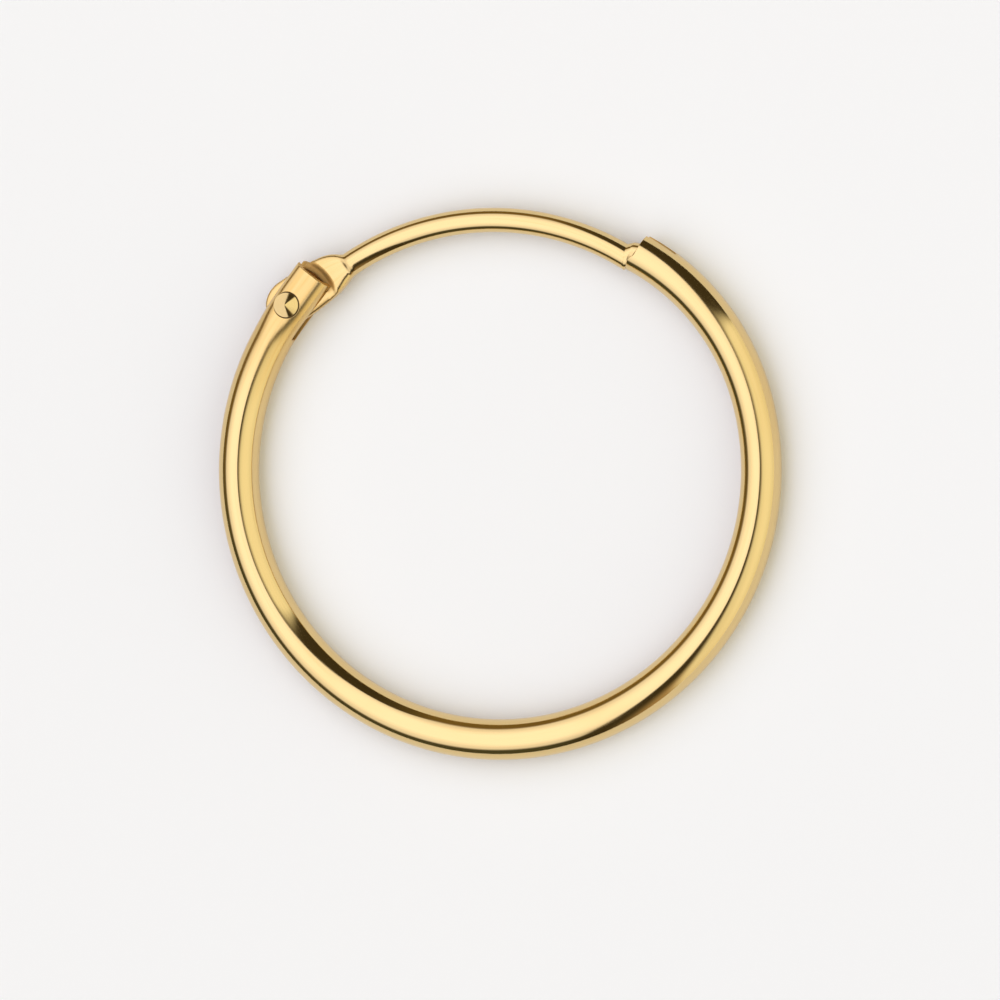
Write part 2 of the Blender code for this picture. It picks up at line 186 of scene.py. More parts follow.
class EARRING_PG_stage(PropertyGroup):
    """Camera, light and floor"""

    tilt: turn("Camera tilt", "How far the camera leans from upright towards +X", 14.2)
    distance: length("Camera distance", "From the hoop to the camera", 420.0)
    frame_width: length("View width", "Width that the camera sees at the hoop", 29.33)
    aim_right: length("Aim right", "Where the camera aims, to the right of the hoop's centre", 0.03)
    aim_down: length("Aim down", "Where the camera aims, below the hoop's centre", 0.874)
    floor: colour("Floor", "Colour of the floor", (0.955, 0.96, 0.975))
    backdrop: colour("Backdrop", "Colour seen past the floor", (0.95, 0.95, 0.95))
    light: share("Light", "Brightness of all the light", 1.68)
    overhead: colour("Overhead panel", "Light of the overhead panel", (0.94, 0.935, 1.0))
    side: colour("Side panel", "Light of the panel on the right", (0.75, 0.74, 0.62))
    gap: colour("Gap", "Light from the gaps between the panels", (0.035, 0.028, 0.014))
    low_glow: colour("Low glow", "Light from the far end of the lower gap", (0.38, 0.28, 0.16))
    brown_wall: colour("Brown wall", "Light from the wall past the picture's top", (0.13, 0.09, 0.03))
    olive_wall: colour("Olive wall", "Light from the wall past its foot", (0.05, 0.05, 0.028))


def heading(angle):
    """Unit vectors of the hoop's plane at these angles from +X: the cosine and the sine side by side."""
    return np.stack([np.cos(angle), np.sin(angle)], axis=-1)


def quarter_turn(vectors):
    """Vectors of the hoop's plane turned anticlockwise by a quarter turn: (x, y) becomes (-y, x)."""
    return np.stack([-vectors[..., 1], vectors[..., 0]], axis=-1)


def part_way(first, second, way):
    """A share of the way from the first to the second."""
    return first + (second - first) * way


def eased(way):
    """A share of a way, held between 0 and 1 and eased at both ends."""
    way = np.clip(way, 0.0, 1.0)
    return way**2 * (3 - 2 * way)


def through(at, heights, x):
    """A smooth curve through a table's points: a cubic between each two, with the harmonic mean of the slopes
    on either side at each point, and level where the slope changes sign, so it never overshoots."""
    at, heights = np.asarray(at, float), np.asarray(heights, float)
    step = np.diff(at)
    slope = np.diff(heights) / step
    product = slope[:-1] * slope[1:]
    total = np.where(product > 0, slope[:-1] + slope[1:], 1.0)
    lean = np.zeros_like(heights)
    lean[0], lean[-1] = slope[0], slope[-1]
    lean[1:-1] = np.where(product > 0, 2 * product / total, 0.0)
    k = np.clip(np.searchsorted(at, x, side="right") - 1, 0, len(step) - 1)
    t = np.clip((x - at[k]) / step[k], 0.0, 1.0)
    rise = part_way(heights[k], heights[k + 1], eased(t))
    return rise + step[k] * t * (1 - t) * (lean[k] * (1 - t) - lean[k + 1] * t)


class Plan:
    """The earring's plan in the hoop's plane: its routes, its ends and its rivet, from the hoop's centre."""

    def __init__(self, scene):
        self.tube, self.wire, self.rivet = scene.earring_tube, scene.earring_wire, scene.earring_rivet
        tube, wire = self.tube, self.wire
        self.tube_radius = tube.diameter / 2
        self.wire_radius = wire.diameter / 2
        self.bend_radius = tube.outer_diameter / 2 - self.tube_radius
        self.hinge_outward = heading(tube.hinge_bend_end)
        self.hinge_tangent = -quarter_turn(self.hinge_outward)
        bend_end = self.bend_radius * self.hinge_outward
        self.hinge_mouth = bend_end + tube.hinge_straight * self.hinge_tangent
        self.pivot = self.hinge_mouth - self.rivet.from_mouth * self.hinge_tangent
        tighter = self.bend_radius - tube.catch_bend_radius
        self.catch_centre = tighter * heading(tube.catch_bend_start)
        self.catch_end = tube.catch_bend_start + tube.catch_bend_sweep
        self.catch_outward = heading(self.catch_end)
        self.catch_tangent = quarter_turn(self.catch_outward)
        self.catch_mouth = self.catch_centre + tube.catch_bend_radius * self.catch_outward
        self.round_length = self.bend_radius * (2 * math.pi + tube.catch_bend_start - tube.hinge_bend_end)
        self.tube_length = (
            tube.hinge_straight + self.round_length + tube.catch_bend_radius * tube.catch_bend_sweep
        )
        self.plan_wire()
        crown = self.wire_centre[1] + wire.bend_radius + self.wire_radius
        self.centre = np.array([0.0, (tube.outer_diameter / 2 - crown) / 2, self.tube_radius])
        self.pivot_place = np.append(self.pivot, 0.0) + self.centre

    def plan_wire(self):
        """The wire's arc ends at the catch, and its other end runs straight on past the rivet. Its centre is
        the point that lies at the arc's radius from the one and at the paddle's reach from the other."""
        wire = self.wire
        wire_end = (
            self.catch_mouth + wire.end_setback * self.catch_tangent - wire.end_inset * self.catch_outward
        )
        short = wire.bend_radius - wire.rivet_offset
        reach = math.hypot(short, wire.paddle_length)
        between = wire_end - self.pivot
        span = np.linalg.norm(between)
        along = (reach**2 - wire.bend_radius**2 + span**2) / (2 * span)
        aside = math.sqrt(reach**2 - along**2)
        self.wire_centre = self.pivot + (along * between - aside * quarter_turn(between)) / span
        to_rivet = self.pivot - self.wire_centre
        self.wire_start = math.atan2(to_rivet[1], to_rivet[0]) - math.atan2(wire.paddle_length, short)
        to_end = wire_end - self.wire_centre
        self.wire_stop = math.atan2(to_end[1], to_end[0])
        self.paddle_outward = heading(self.wire_start)
        self.paddle_axis = -quarter_turn(self.paddle_outward)

    def tube_at(self, s):
        """The tube's middle line and the way outward from it, at lengths from the hinge mouth: straight, then
        round the hoop's centre, then round the nearer centre of the catch bend."""
        tube = self.tube
        on_round = s - tube.hinge_straight
        on_catch = on_round - self.round_length
        turned = np.clip(on_round, 0.0, self.round_length) / self.bend_radius
        turned = turned + np.maximum(on_catch, 0.0) / tube.catch_bend_radius
        outward = heading(tube.hinge_bend_end + turned)
        straight = self.hinge_mouth - s[..., None] * self.hinge_tangent
        caught = self.catch_centre + tube.catch_bend_radius * outward
        point = np.where(on_catch[..., None] < 0, self.bend_radius * outward, caught)
        return np.where(on_round[..., None] < 0, straight, point), outward

    def power_at(self, s):
        """The power of the tube's section, two where it is round, at lengths from the hinge mouth."""
        tube = self.tube
        near = (tube.square_end - s) / (tube.square_end - tube.square_full)
        return 2 + tube.squareness * eased(near)

    def in_catch(self, depth, aside):
        """Points at depths into the catch end along its bend, and at distances outward from its middle."""
        ahead = np.minimum(depth, 0.0)[..., None] * -self.catch_tangent
        angle = self.catch_end - np.maximum(depth, 0.0) / self.tube.catch_bend_radius
        radius = (self.tube.catch_bend_radius + aside)[..., None]
        return self.catch_centre + radius * heading(angle) + ahead

    def lift(self, point, height):
        """Points of the hoop's plane, at heights from it, in the world, one after the other."""
        return (np.concatenate([point, height[..., None]], axis=-1) + self.centre).reshape(-1, 3)


def grid_faces(rows, columns):
    """The four corners of each cell of a grid of points, row by row. Its last column joins its first."""
    i, j = np.meshgrid(np.arange(rows - 1), np.arange(columns), indexing="ij")
    after = (j + 1) % columns
    corners = [i * columns + j, (i + 1) * columns + j, (i + 1) * columns + after, i * columns + after]
    return np.stack(corners, axis=-1).reshape(-1, 4)


def fan(middle, first, second):
    """Triangles from a middle point to each pair of neighbours on a ring."""
    return np.stack([np.full_like(first, middle), first, second, np.full_like(first, -1)], axis=-1)


def capped(points, grain, faces, rows, columns):
    """A grid's points, grain and faces with a fan of triangles over each open end. A fan meets in the middle
    of its ring."""
    top = (rows - 1) * columns
    middles = [points[:columns].mean(axis=0), points[top:].mean(axis=0)]
    ring = np.arange(columns)
    after = (ring + 1) % columns
    fans = [fan(rows * columns, after, ring), fan(rows * columns + 1, ring + top, after + top)]
    points, grain = np.concatenate([points, middles]), np.concatenate([grain, grain[[0, top]]])
    return points, grain, np.concatenate([faces, *fans])


def build_mesh(name, points, faces, grain, slots=None):
    """A smooth mesh from arrays of points and of faces, without the points that no face uses. A face's fourth
    corner is -1 if it is a triangle. The grain is each point's place across and along the metal, for the
    lines of the finish."""
    corners = faces.ravel()
    real = corners >= 0
    used = np.unique(corners[real])
    place = np.zeros(len(points), dtype=np.int32)
    place[used] = np.arange(len(used))
    sizes = (faces >= 0).sum(axis=1)
    starts = np.concatenate([[0], np.cumsum(sizes)[:-1]])
    mesh = bpy.data.meshes.new(name)
    mesh.vertices.add(len(used))
    mesh.vertices.foreach_set("co", points[used].astype(np.float32).ravel())
    mesh.loops.add(int(sizes.sum()))
    mesh.loops.foreach_set("vertex_index", place[corners[real]])
    mesh.polygons.add(len(faces))
    mesh.polygons.foreach_set("loop_start", starts.astype(np.int32))
    if slots is not None:
        mesh.polygons.foreach_set("material_index", slots.astype(np.int32))
    attribute = mesh.attributes.new("grain", "FLOAT_VECTOR", "POINT")
    attribute.data.foreach_set("vector", grain[used].astype(np.float32).ravel())
    mesh.update(calc_edges=True)
    mesh.validate()
    mesh.shade_smooth()
    mesh.set_sharp_from_angle(angle=SHARP)
    return mesh


def add_object(name, data):
    """An object in the scene."""
    added = bpy.data.objects.new(name, data)
    bpy.context.scene.collection.objects.link(added)
    return added


def add_piece(name, mesh, materials, body, node):
    """The finished piece, which moves with a body and stands for a node of the frame."""
    piece = add_object(name, mesh)
    for material in materials:
        piece.data.materials.append(material)
    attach(piece, body)
    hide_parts(node)
    return piece


def round_edges(piece, width):
    """Rounds the sharp edges, and keeps the faces beside them true."""
    bevel = piece.modifiers.new("rounded edges", "BEVEL")
    bevel.width = width
    bevel.segments = 3
    bevel.limit_method = "ANGLE"
    bevel.angle_limit = SHARP
    bevel.harden_normals = True
    bevel.use_clamp_overlap = True


class Link:
    """A socket in a node tree, on which sums are written as in Python. Each sum adds its Math node."""

    def __init__(self, tree, socket):
        self.tree = tree
        self.socket = socket

    def __add__(self, other):
        return self.tree.maths("ADD", self, other)

    def __radd__(self, other):
        return self.tree.maths("ADD", other, self)

    def __sub__(self, other):
        return self.tree.maths("SUBTRACT", self, other)

    def __rsub__(self, other):
        return self.tree.maths("SUBTRACT", other, self)

    def __mul__(self, other):
        return self.tree.maths("MULTIPLY", self, other)

    def __rmul__(self, other):
        return self.tree.maths("MULTIPLY", other, self)


def opaque(tone):
    """A colour with its fourth number. A link stays as it is."""
    return tone if isinstance(tone, Link) else (*tone, 1.0)


class Tree:
    """A material's or a world's node tree."""

    def __init__(self, owner):
        owner.use_nodes = True
        self.nodes = owner.node_tree.nodes
        self.links = owner.node_tree.links
        self.nodes.clear()

    def add(self, kind, settings=None, values=None, output=0):
        """A node of this kind. Its settings are set first, and then the values or links of its sockets."""
        node = self.nodes.new(kind)
        for key, setting in (settings or {}).items():
            setattr(node, key, setting)
        for key, value in (values or {}).items():
            socket = node.inputs[key]
            if isinstance(value, Link):
                self.links.new(value.socket, socket)
            else:
                socket.default_value = value
        return Link(self, node.outputs[output]) if node.outputs else node

    def maths(self, operation, *values):
        """What a Math node makes of its values."""
        return self.add("ShaderNodeMath", {"operation": operation}, dict(enumerate(values)))

    def fade(self, value, low, high, start=0.0, end=1.0):
        """Goes smoothly from start to end as a value goes from low to high."""
        settings = {"interpolation_type": "SMOOTHSTEP"}
        sockets = {"Value": value, "From Min": low, "From Max": high, "To Min": start, "To Max": end}
        return self.add("ShaderNodeMapRange", settings, sockets)

    def scaled(self, vector, factors):
        """A vector times another, axis by axis."""
        return self.add("ShaderNodeVectorMath", {"operation": "MULTIPLY"}, {0: vector, 1: factors})

    def axis(self, vector, number):
        """A vector's length along one axis: 0 for X, 1 for Y and 2 for Z."""
        return self.add("ShaderNodeSeparateXYZ", {}, {0: vector}, output=number)

    def grain(self):
        """A point's place across and along the metal, in metres."""
        return self.add("ShaderNodeAttribute", {"attribute_name": "grain"}, output=1)

    def place(self):
        """Where a point of the piece is, in metres."""
        return self.add("ShaderNodeTexCoord", output=3)

    def away(self, centre):
        """The vector from a centre to a point of the piece."""
        sockets = {0: self.place(), 1: tuple(centre)}
        return self.add("ShaderNodeVectorMath", {"operation": "SUBTRACT"}, sockets)

    def from_axis(self, centre):
        """How far a point of the piece is from the upright line through a centre."""
        flat = self.scaled(self.away(centre), (1.0, 1.0, 0.0))
        return self.add("ShaderNodeVectorMath", {"operation": "LENGTH"}, {0: flat}, output=1)

    def mixed(self, factor, first, second):
        """The first colour, going to the second as the factor goes to 1."""
        colours = {0: factor, 6: opaque(first), 7: opaque(second)}
        return self.add("ShaderNodeMix", {"data_type": "RGBA"}, colours, output=2)

    def noise(self, vector, detail=2.0, roughness=0.5):
        """Smooth noise of unit size at a vector."""
        sockets = {"Vector": vector, "Scale": 1.0, "Detail": detail, "Roughness": roughness}
        return self.add("ShaderNodeTexNoise", {}, sockets)

    def finish(self, sockets):
        """Ends a material's tree with its surface."""
        surface = self.add("ShaderNodeBsdfPrincipled", {}, sockets)
        self.add("ShaderNodeOutputMaterial", {}, {"Surface": surface})

    def finish_metal(self, tone, rough, heights):
        """Ends a material's tree with a metal of this tone and roughness, raised by heights in metres."""
        bump = self.add("ShaderNodeBump", {}, {"Strength": 1.0, "Distance": 1.0, "Height": heights})
        self.finish({"Base Color": tone, "Metallic": 1.0, "Roughness": rough, "Normal": bump})


def new_material(name):
    """A material and its empty tree."""
    material = bpy.data.materials.new(name)
    return material, Tree(material)


def gold_material(name, finish, worn_length, seat=None, ring=None):
    """Polished gold. Fine lines run along the metal, the polish leaves low waves and a few tiny pits, and the
    colour goes a little deeper in patches and over the worn length at the hinge. Round the rivet's head,
    whose centre and radius are the seat, there is a thin sunken line whose colour is darkened by painted
    shade. The ring is a centre and two radii between which the press leaves the metal matt, and there its
    colour is deepened by painted shade by the tube's mouth, except at the ring's inner edge."""
    material, tree = new_material(name)
    place = tree.grain()
    worn = tree.fade(tree.axis(place, 2), worn_length, 0.3 * worn_length)
    fine, wave = 1 / finish.line_width, 1 / finish.wave_width
    lines = tree.noise(tree.scaled(place, (fine, fine, fine / 50)), 3.0, 0.6)
    waves = tree.noise(tree.scaled(place, (wave, wave, wave / 2.2)), 1.0, 0.4)
    patches = tree.noise(tree.scaled(place, (700.0, 700.0, 260.0)), 3.0, 0.5)
    cells = {"Vector": tree.scaled(place, (1900.0,) * 3), "Scale": 1.0}
    far = tree.add("ShaderNodeTexVoronoi", {}, cells)
    pits = tree.fade(far, 0.0, 0.055, 1.0, 0.0)
    heights = finish.wave_depth * waves + finish.line_depth * (1 + 1.5 * worn) * lines
    heights = heights - finish.pit_depth * pits
    deep = 0.2 * tree.fade(patches, 0.45, 0.75) + 0.25 * tree.fade(lines, 0.5, 0.8)
    deep = deep + worn * (0.4 + 0.4 * tree.fade(lines, 0.35, 0.7))
    tone = tree.mixed(deep, finish.gold, finish.deep_gold)
    rough = finish.gloss + 0.05 * tree.fade(lines, 0.4, 0.8) + 0.05 * tree.fade(patches, 0.4, 0.8)
    rough = rough + 0.3 * pits + 0.14 * worn
    if ring:
        centre, inner, outer = ring
        away = tree.from_axis(centre)
        dull_and_shaded = tree.fade(away, inner, inner + 0.08 * MM)
        dull_and_shaded = dull_and_shaded * tree.fade(away, outer + 0.02 * MM, outer - 0.02 * MM)
        dull_and_shaded = dull_and_shaded * tree.fade(tree.axis(place, 0), -0.32 * MM, -0.12 * MM)
        # Painted shade: the ring's colour goes most of the way to the deep gold; the added roughness is the
        # real matt finish
        tone = tree.mixed(0.9 * dull_and_shaded, tone, finish.deep_gold)
        rough = rough + 0.36 * dull_and_shaded
    if seat:
        centre, radius = seat
        line = tree.fade(tree.axis(tree.away(centre), 2), 0.0, 0.1 * MM)
        line = line * tree.fade(tree.from_axis(centre) - radius, 0.045 * MM, 0.025 * MM)
        # Painted shade: the thin line round the rivet's head is darkened towards the painted shade colour;
        # its sunken heights and roughness are real
        tone = tree.mixed(0.9 * line, tone, finish.painted_gap_shade)
        rough = rough + 0.4 * line
        heights = heights - finish.line_cut * line
    tree.finish_metal(tone, rough, heights)
    return material


def drawn_material(name, finish):
    """The tube's inside and its sawn edges: deeper gold, unpolished, with coarse lines along it."""
    material, tree = new_material(name)
    fine = 0.6 / finish.line_width
    lines = tree.noise(tree.scaled(tree.grain(), (fine, fine, fine / 15)), 4.0, 0.6)
    dark = tuple(0.85 * part for part in finish.deep_gold)
    tone = tree.mixed(tree.fade(lines, 0.35, 0.7), finish.deep_gold, dark)
    tree.finish_metal(tone, finish.inside + 0.2 * lines, (0.0008 * MM) * lines)
    return material


def turned_material(name, finish, centre):
    """The rivet: gold turned on a lathe, with fine rings round its axis."""
    material, tree = new_material(name)
    turns = tree.add("ShaderNodeCombineXYZ", {}, {0: tree.from_axis(centre) * 42000.0})
    rings = tree.noise(turns, 3.0, 0.6)
    patches = tree.noise(tree.scaled(tree.place(), (2500.0,) * 3), 2.0, 0.5)
    tone = tree.mixed(tree.fade(rings, 0.45, 0.75, 0.0, 0.5), finish.gold, finish.deep_gold)
    rough = finish.gloss + 0.05 * rings + 0.08 * tree.fade(patches, 0.45, 0.75)
    tree.finish_metal(tone, rough, (0.00012 * MM) * rings)
    return material


def round_angles(slot_edge):
    """Angles round the tube's section from its outward side, spaced so that the edges of a slot on either
    side fall on them."""
    slot = np.linspace(-slot_edge, slot_edge, SLOT_CELLS, endpoint=False)
    side = np.linspace(slot_edge, math.pi - slot_edge, SIDE_CELLS, endpoint=False)
    return np.concatenate([slot, side, slot + math.pi, side + math.pi])


def tube_skin(plan, s, radius):
    """The tube at one radius. A point stands on the middle line at length s, moved outward by its reach times
    the cosine of its angle and up by its reach times the sine. Its reach is the radius over the root of the
    cosine's and the sine's powers added up, which is the radius where the power is two and bulges at the
    corners where it is more. Near the hinge mouth its length grows with its height, which slants the mouth.
    Near the catch mouth it shrinks on the outward side, smoothly across the tube, which cuts that side of the
    mouth back."""
    tube = plan.tube
    angle = round_angles(math.asin(tube.slot_width / 2 / radius))
    s, angle = np.meshgrid(s, angle, indexing="ij")
    power = plan.power_at(s)
    cosine, sine = np.cos(angle), np.sin(angle)
    reach = radius * (np.abs(cosine) ** power + np.abs(sine) ** power) ** (-1 / power)
    height = reach * sine
    fade = np.clip(1 - s / tube.slot_length, 0.0, 1.0)
    near_catch = np.clip(1 - (plan.tube_length - s) / tube.catch_slot_length, 0.0, 1.0)
    aside = reach * cosine
    across = eased(0.5 + (aside + tube.notch_inset) / tube.notch_run)
    cut_back = tube.notch_depth * near_catch * across
    point, outward = plan.tube_at(s + height * math.tan(tube.mouth_slant) * fade - cut_back)
    point = point + aside[..., None] * outward
    grain = np.stack([aside, height, s], axis=-1)
    return plan.lift(point, height), grain.reshape(-1, 3)


def slotted_walls(present):
    """The faces of a wall between an outer and an inner grid of points, where its cells are present: both
    skins, and a strip from skin to skin wherever a cell has no neighbour."""
    rows, columns = present.shape
    inner = (rows + 1) * columns
    corners = grid_faces(rows + 1, columns).reshape(rows, columns, 4)
    corner = dict(zip("abcd", np.moveaxis(corners, -1, 0)))
    above = np.vstack([present[1:], np.zeros((1, columns), bool)])
    below = np.vstack([np.zeros((1, columns), bool), present[:-1]])
    before, behind = np.roll(present, 1, axis=1), np.roll(present, -1, axis=1)
    skin = corners[present]
    walls = []
    for (first, second), neighbour in {"da": below, "bc": above, "ab": before, "cd": behind}.items():
        edge = present & ~neighbour
        one, two = corner[first][edge], corner[second][edge]
        walls.append(np.stack([two, one, one + inner, two + inner], axis=-1))
    faces = np.concatenate([skin, skin[:, ::-1] + inner, *walls])
    inside = np.arange(len(faces)) >= len(skin)
    return faces, inside.astype(np.int32)


class EARRING_OT_add_tube(Operator):
    """Add the bent hollow tube, with a slot through both sides at the hinge and through one at the catch"""

    bl_idname = "earring.add_tube"
    bl_label = "Hoop tube"

    def execute(self, context):
        plan = Plan(context.scene)
        tube = plan.tube
        catch_slot = plan.tube_length - tube.catch_slot_length
        s = np.concatenate(
            [
                np.linspace(0.0, tube.slot_length, HINGE_ROWS, endpoint=False),
                np.linspace(tube.slot_length, catch_slot, TUBE_ROWS, endpoint=False),
                np.linspace(catch_slot, plan.tube_length, CATCH_ROWS + 1),
            ]
        )
        outer, grain = tube_skin(plan, s, plan.tube_radius)
        inner, inner_grain = tube_skin(plan, s, plan.tube_radius - tube.wall)
        middle = (s[:-1] + s[1:]) / 2
        column = np.arange(2 * (SLOT_CELLS + SIDE_CELLS))
        outer_slot = column < SLOT_CELLS
        inner_slot = (column >= SLOT_CELLS + SIDE_CELLS) & (column < 2 * SLOT_CELLS + SIDE_CELLS)
        at_hinge = (middle < tube.slot_length)[:, None]
        at_catch = (middle > catch_slot)[:, None]
        present = ~(at_hinge & (outer_slot | inner_slot)) & ~(at_catch & outer_slot)
        faces, slots = slotted_walls(present)
        points = np.concatenate([outer, inner])
        mesh = build_mesh("hoop_tube_skin", points, faces, np.concatenate([grain, inner_grain]), slots)
        finish = context.scene.earring_finish
        head = plan.pivot_place - (plan.rivet.head_aside, 0.0, 0.0)
        seat = (head, plan.rivet.head_diameter / 2)
        outside = gold_material("polished_tube", finish, tube.worn, seat)
        materials = [outside, drawn_material("drawn_inside", finish)]
        piece = add_piece("bent_tube", mesh, materials, "hoop", "hoop_tube")
        round_edges(piece, tube.rim)
        return {"FINISHED"}


# The paddle from the rivet to the round wire: how far along it each place is as a share of the way, how much
# of the way each edge is from the wire's to the paddle's, and how square the section is
PADDLE_ALONG = (0.00, 0.24, 0.48, 0.63, 0.72, 0.80, 0.90, 0.96, 1.00)
PADDLE_OUTER = (1.00, 1.00, 0.93, 0.84, 0.76, 0.64, 0.38, 0.14, 0.01)
PADDLE_INNER = (1.00, 0.97, 0.86, 0.73, 0.60, 0.43, 0.15, 0.03, 0.00)
PADDLE_SQUARE = (5.0, 5.0, 5.0, 5.0, 4.6, 4.0, 3.2, 2.4, 2.0)

# The press leaves the paddle flat round the rivet, with a round shoulder that clears the tube's mouth as the
# hinge turns: distances from the rivet as shares of the paddle's length, and how flat the wire is pressed
PRESSED_AT = (0.00, 0.531, 0.580, 0.628, 0.640, 0.684, 0.703, 0.880, 0.940, 0.990, 1.03, 1.06)
PRESSED = (1.00, 1.00, 0.94, 0.850, 0.80, 0.58, 0.54, 0.49, 0.42, 0.18, 0.03, 0.00)

# The tongue: how deep each place is for its outer and its inner edge as shares of its depth, how much of the
# way each edge is from the wire's to the tongue's, its share of the thickness, and how square it is. Its
# first places are the thick root, which fills the notch in the tube's mouth
TONGUE = {
    "outer_at": (-0.30, -0.13, 0.09, 0.10, 0.35, 0.80, 0.94, 1.00),
    "inner_at": (-0.05, -0.045, -0.035, -0.025, 0.35, 0.80, 0.94, 1.00),
    "outer": (0.08, 0.60, 0.85, 0.85, 1.00, 1.00, 0.80, 0.40),
    "inner": (0.02, 0.06, 0.12, 1.00, 1.00, 1.00, 0.86, 0.60),
    "thick": (2.38, 2.33, 2.20, 1.00, 1.00, 1.00, 0.90, 0.60),
    "square": (2.1, 2.4, 2.6, 5.0, 5.0, 5.0, 4.0, 3.0),
}


def sections(outer, inner, square, tip):
    """Closed sections between outer and inner edges. Across, a point goes with the cosine of its angle. Up,
    as a share of the thickness, it goes with what is left of one after its distance from the middle, to the
    power of the squareness, where the tip's share of it rounds a free end."""
    angle = (np.arange(WIRE_SIDES) + 0.5) * 2 * math.pi / WIRE_SIDES
    power = square[:, None]
    across = np.cos(angle)[None, :]
    away = tip[:, None] ** 2 + (1 - tip[:, None] ** 2) * across**2
    above = np.sign(np.sin(angle))[None, :] * (1 - away ** (power / 2)).clip(0.0) ** (1 / power)
    middle, half = (outer + inner) / 2, (outer - inner) / 2
    point = middle[:, None, :] + across[..., None] * half[:, None, :]
    return point, above, angle


def paddle_rows(plan):
    """The paddle: half of an ellipse behind the rivet, and then the table's smooth curves to the wire."""
    wire = plan.wire
    line = plan.pivot + wire.rivet_offset * plan.paddle_outward
    half, edge = wire.paddle_width / 2, plan.wire_radius
    round_end = np.linspace(7.0, 90.0, TIP_ROWS, endpoint=False)
    round_end = np.radians(np.concatenate([[0.6, 2.0, 4.0], round_end]))
    behind = -wire.paddle_end * np.cos(round_end)
    reach = half * np.sin(round_end)
    way = np.linspace(0.0, 1.0, PADDLE_ROWS)
    ahead = way * wire.paddle_length
    outer = part_way(edge, wire.paddle_offset + half, through(PADDLE_ALONG, PADDLE_OUTER, way))
    inner = part_way(-edge, wire.paddle_offset - half, through(PADDLE_ALONG, PADDLE_INNER, way))
    outer = np.concatenate([wire.paddle_offset + reach, outer])
    inner = np.concatenate([wire.paddle_offset - reach, inner])
    square = through(PADDLE_ALONG, PADDLE_SQUARE, np.append(0 * reach, way))
    along = np.concatenate([behind, ahead])
    middle = line + along[:, None] * plan.paddle_axis
    return {
        "outer": middle + outer[:, None] * plan.paddle_outward,
        "inner": middle + inner[:, None] * plan.paddle_outward,
        "thick": np.full_like(along, edge),
        "square": square,
        "tip": np.concatenate([np.cos(round_end), np.zeros_like(way)]),
        "along": along,
    }


def round_rows(plan):
    """The round wire along its arc. The sections of its last tenth lean over to the slanted end."""
    wire = plan.wire
    way = np.linspace(0.0, 1.0, ARC_ROWS)[1:]
    angle = part_way(plan.wire_start, plan.wire_stop, way)
    lean = math.tan(wire.end_slant) * np.clip((way - 0.9) / 0.1, 0.0, 1.0)
    edge = plan.wire_radius
    rows = {}
    for name, aside in (("outer", edge), ("inner", -edge)):
        turned = angle + lean * aside / (wire.bend_radius + aside)
        rows[name] = plan.wire_centre + (wire.bend_radius + aside) * heading(turned)
    rows["thick"] = np.full_like(way, edge)
    rows["square"] = np.full_like(way, 2.0)
    rows["tip"] = np.zeros_like(way)
    rows["along"] = wire.paddle_length + way * (plan.wire_start - plan.wire_stop) * wire.bend_radius
    return rows


def tongue_rows(plan, start):
    """The tongue, which reaches into the catch along its bend, by its table's straight runs."""
    wire = plan.wire
    runs = len(TONGUE["thick"]) - 1
    way = np.linspace(0.0, runs, TONGUE_ROWS * runs + 1)
    run = {name: np.interp(way, np.arange(runs + 1), column) for name, column in TONGUE.items()}
    half = wire.tongue_width / 2
    outer = part_way(plan.wire_radius - wire.end_inset, wire.tongue_offset + half, run["outer"])
    inner = part_way(-plan.wire_radius - wire.end_inset, wire.tongue_offset - half, run["inner"])
    return {
        "outer": plan.in_catch(run["outer_at"] * wire.tongue_depth, outer),
        "inner": plan.in_catch(run["inner_at"] * wire.tongue_depth, inner),
        "thick": run["thick"] * wire.tongue_thickness / 2,
        "square": run["square"],
        "tip": np.zeros_like(way),
        "along": start + way / runs * wire.tongue_depth,
    }


def cut_round_hole(piece, place, radius, depth):
    """Cuts a round hole along Z through a piece, with a Boolean that is applied at once. The cutter is a rod
    whose points stand at the hole's radius round its axis."""
    angle = np.arange(HOLE_SIDES) * 2 * math.pi / HOLE_SIDES
    heights = np.array([-depth, depth])
    ring = np.broadcast_to(heading(angle)[None] * radius, (2, HOLE_SIDES, 2))
    rise = np.broadcast_to(heights[:, None, None], (2, HOLE_SIDES, 1))
    points = np.concatenate([ring, rise], axis=-1).reshape(-1, 3) + place
    faces = grid_faces(2, HOLE_SIDES)[:, ::-1]
    points, grain, faces = capped(points, np.zeros_like(points), faces, 2, HOLE_SIDES)
    cutter = add_object("hole_cutter", build_mesh("hole_cutter", points, faces, grain))
    cut = piece.modifiers.new("rivet hole", "BOOLEAN")
    cut.operation = "DIFFERENCE"
    cut.object = cutter
    bpy.context.view_layer.update()
    evaluated = piece.evaluated_get(bpy.context.evaluated_depsgraph_get())
    whole = piece.data
    piece.data = bpy.data.meshes.new_from_object(evaluated)
    piece.modifiers.clear()
    bpy.data.meshes.remove(whole)
    bpy.data.meshes.remove(cutter.data)


